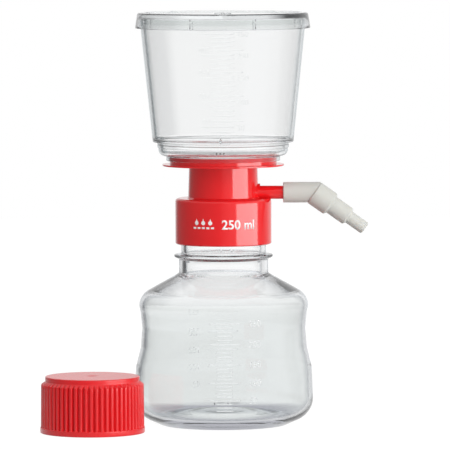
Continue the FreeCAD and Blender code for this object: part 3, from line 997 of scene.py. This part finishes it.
def studio_tone(nodes, x, y, through):
    """How bright the studio is in a horizontal direction, 1 being white."""
    heading = nodes.add("Math", {"operation": "ARCTAN2"}, {0: x, 1: y * -1})
    degrees = heading * (180 / math.pi)
    tone = 1.0
    for start, end, mirrored_rise, through_rise in TONE_STEPS:
        rise = through * (through_rise - mirrored_rise) + mirrored_rise
        tone = nodes.between(degrees, start, end) * rise + tone
    return tone


def ray_kinds(nodes):
    """1 or 0 each: from the eye, through a wall, through or off a surface, mirrored before."""
    camera = nodes.add("LightPath", output="Is Camera Ray")
    through = nodes.add("LightPath", output="Is Transmission Ray")
    mirror = nodes.add("LightPath", output="Is Glossy Ray")
    mirrored = nodes.between(nodes.add("LightPath", output="Glossy Depth"), 0, 1)
    glassy = nodes.add("Math", {"operation": "MAXIMUM"}, {0: through, 1: mirror})
    return camera, through, glassy, mirrored


# %% [markdown]
# ## The floor
#
# The floor is one white disc. Seen straight on or through a wall it glows nearly white, so it
# melts into the background, and only a share of it is shaded, which keeps the soft shadow under
# the unit. As a mirror image it is white near the unit and takes the studio's tone farther out.
# To all other rays it is plain grey paper, which throws some light back up.

# %% Floor
FLOOR_RADIUS = 1.6
FLOOR_DROP = 0.05 * MM      # just below the foot, so that the two don't touch
WHITE_AROUND = 0.20, 0.45   # white inside the first distance, studio tone outside the second
PAPER = (0.55, 0.55, 0.55, 1)
SHADED = (0.16, 0.16, 0.16, 1)
FLOOR_GLOW = 0.93


def make_floor():
    """The disc and its material."""
    material, nodes, place = new_material("floor_white")
    camera, through, glassy, mirrored = ray_kinds(nodes)
    x, y, _ = nodes.split(place)
    tone = studio_tone(nodes, x, y, through)
    reach = nodes.add("VectorMath", {"operation": "LENGTH"}, {0: place}, output="Value")
    far = nodes.between(reach, *WHITE_AROUND)
    tone = tone * far + (1 - far)
    plain = nodes.add("BsdfDiffuse", None, {"Color": PAPER})
    shade = nodes.add("BsdfDiffuse", None, {"Color": SHADED})
    glow = nodes.add("Emission", None, {"Color": (1, 1, 1, 1), "Strength": FLOOR_GLOW})
    white = nodes.add("AddShader", None, {0: shade, 1: glow})
    room = nodes.add("Emission", None, {"Color": nodes.grey(tone)})
    glass_view = nodes.add("MixShader", None, {0: mirrored, 1: white, 2: room})
    surface = nodes.add("MixShader", None, {0: glassy, 1: plain, 2: glass_view})
    nodes.show(nodes.add("MixShader", None, {0: camera, 1: surface, 2: white}))
    bm = bmesh.new()
    bmesh.ops.create_circle(bm, cap_ends=True, segments=96, radius=FLOOR_RADIUS)
    bmesh.ops.translate(bm, vec=(0, 0, -FLOOR_DROP), verts=bm.verts)
    mesh = bpy.data.meshes.new("floor")
    bm.to_mesh(mesh)
    bm.free()
    mesh.materials.append(material)
    floor = bpy.data.objects.new("floor", mesh)
    bpy.context.scene.collection.objects.link(floor)


make_floor()

# %% [markdown]
# ## The world
#
# The world gives each kind of ray its own picture. The eye sees white. A ray that went through a
# wall sees white with the grey bands, and a dimmer ceiling. A mirrored ray sees the studio's
# tone, under a white ceiling. The rays that gather light from all round see a dim room that is
# brighter overhead, so that faces that look up are lighter than upright ones.

# %% World
WHITE = (1, 1, 1, 1)
BAND_DARK = (0.16, 0.17, 0.19, 1)
OVERHEAD = (0.45, 0.45, 0.54, 1)
BANDS, FINE_BANDS = 8, 24
BAND_STRENGTH = 0.8
FINE_SHIFT = math.radians(1.5)
FINE_FAINTEST, FINE_EXTRA = 0.02, 0.14      # on the right, and what the left has more
ROOM_LIGHT, SKYLIGHT = 0.27, 0.45           # all round, and more of it overhead


def make_world():
    """The studio as each kind of ray meets it."""
    world = bpy.data.worlds.new("studio")
    bpy.context.scene.world = world
    nodes = Nodes(world)
    camera, through, glassy, mirrored = ray_kinds(nodes)
    x, y, z = nodes.split(nodes.add("TexCoord", output="Generated"))
    heading = nodes.add("Math", {"operation": "ARCTAN2"}, {0: y, 1: x})
    wave = nodes.add("Math", {"operation": "COSINE"}, {0: heading * BANDS})
    fine_heading = (heading + FINE_SHIFT) * FINE_BANDS
    fine_wave = nodes.add("Math", {"operation": "COSINE"}, {0: fine_heading})
    bands = nodes.between(wave * -1, 0.55, 0.95) * BAND_STRENGTH
    fine_strength = nodes.between(x, 0.05, -0.05) * FINE_EXTRA + FINE_FAINTEST
    fine_bands = nodes.between(fine_wave * -1, -0.1, 0.3) * fine_strength
    sky = nodes.mix(nodes.between(z, 0.30, 0.85), WHITE, OVERHEAD)
    straight = nodes.mix(bands + fine_bands, sky, BAND_DARK)
    ceiling = nodes.between(z, 0.25, 0.55)
    room = nodes.mix(ceiling, nodes.grey(studio_tone(nodes, x, y, through)), WHITE)
    glass_view = nodes.mix(mirrored, straight, room)
    daylight = nodes.between(z, 0.3, 1.0) * SKYLIGHT + ROOM_LIGHT
    colour = nodes.mix(glassy, nodes.grey(daylight), glass_view)
    colour = nodes.mix(camera, colour, WHITE)
    nodes.show(nodes.add("Background", None, {"Color": colour}), output="OutputWorld")


make_world()

# %% [markdown]
# ## Lamps
#
# The key light is a wide window in front on the right, standing on the table. Its upright edges
# show in the collar and in the column as a pale strip. A large soft light near the camera opens
# the front, a weaker one opens the back, and both are kept out of reflections. The window would
# also show in the clear walls as a hard white patch, so light linking takes them out of its
# reach, as a card would.

# %% Lamps
def add_lamp(name, heading, distance, low_z, high_z, width, radiance):
    """An upright area lamp round the unit; heading is counted from the front to the right."""
    lamp = bpy.data.lights.new(name, "AREA")
    lamp.shape = "RECTANGLE"
    lamp.size, lamp.size_y = width, high_z - low_z
    lamp.energy = radiance * math.pi * lamp.size * lamp.size_y
    holder = bpy.data.objects.new(name, lamp)
    angle = math.radians(heading)
    away = Vector((math.sin(angle), -math.cos(angle), 0))
    holder.location = away * distance + Vector((0, 0, (low_z + high_z) / 2))
    holder.rotation_euler = (-away).to_track_quat("-Z", "Y").to_euler()
    holder.visible_camera = False
    holder.visible_transmission = False
    bpy.context.scene.collection.objects.link(holder)
    return holder


def keep_off(lamp, *pieces):
    """Light linking: the lamp no longer reaches these pieces."""
    shaded = bpy.data.collections.new(lamp.name + "_shaded")
    for piece in pieces:
        shaded.objects.link(piece)
    for entry in shaded.collection_objects:
        entry.light_linking.link_state = "EXCLUDE"
    lamp.light_linking.receiver_collection = shaded


key_window = add_lamp(
    "key_window", heading=60, distance=0.9, low_z=0.0, high_z=0.22, width=1.0, radiance=6.0)
keep_off(key_window, bottle, funnel, lid)
soft_front = add_lamp(
    "soft_front", heading=16, distance=1.2, low_z=0.0, high_z=1.3, width=0.9, radiance=3.05)
soft_front.visible_glossy = False
soft_back = add_lamp(
    "soft_back", heading=180, distance=1.2, low_z=0.0, high_z=1.3, width=0.9, radiance=1.2)
soft_back.visible_glossy = False

# %% [markdown]
# ## Camera
#
# The unit is seen from far off through a long lens, a little from above, so its circles are thin
# ellipses and its upright lines stay upright.

# %% Camera
LENS, SENSOR = 433, 36      # millimetres
CAMERA_PLACE = Vector((0.0008, -2.7, 0.278))
CAMERA_AIM = Vector((0.0008, 0, 0.0998))
CAMERA_ROLL = math.radians(-0.2)


def add_camera():
    """A camera at its place, turned to its aim and then rolled."""
    camera = bpy.data.cameras.new("camera")
    camera.lens = LENS
    camera.sensor_width = SENSOR
    camera.clip_end = 50
    holder = bpy.data.objects.new("camera", camera)
    bpy.context.scene.collection.objects.link(holder)
    holder.location = CAMERA_PLACE
    look = (CAMERA_AIM - CAMERA_PLACE).to_track_quat("-Z", "Y")
    roll = Matrix.Rotation(CAMERA_ROLL, 3, "Z")
    holder.rotation_euler = (look.to_matrix() @ roll).to_euler()
    bpy.context.scene.camera = holder


add_camera()

# %% [markdown]
# ## Render settings that belong to the scene
#
# A ray may cross many clear surfaces before it leaves, so it needs more bounces than usual.

# %% Bounces and colour
scene = bpy.context.scene
scene.view_settings.view_transform = "Standard"
scene.cycles.max_bounces = 32
scene.cycles.transmission_bounces = 32
scene.cycles.glossy_bounces = 12
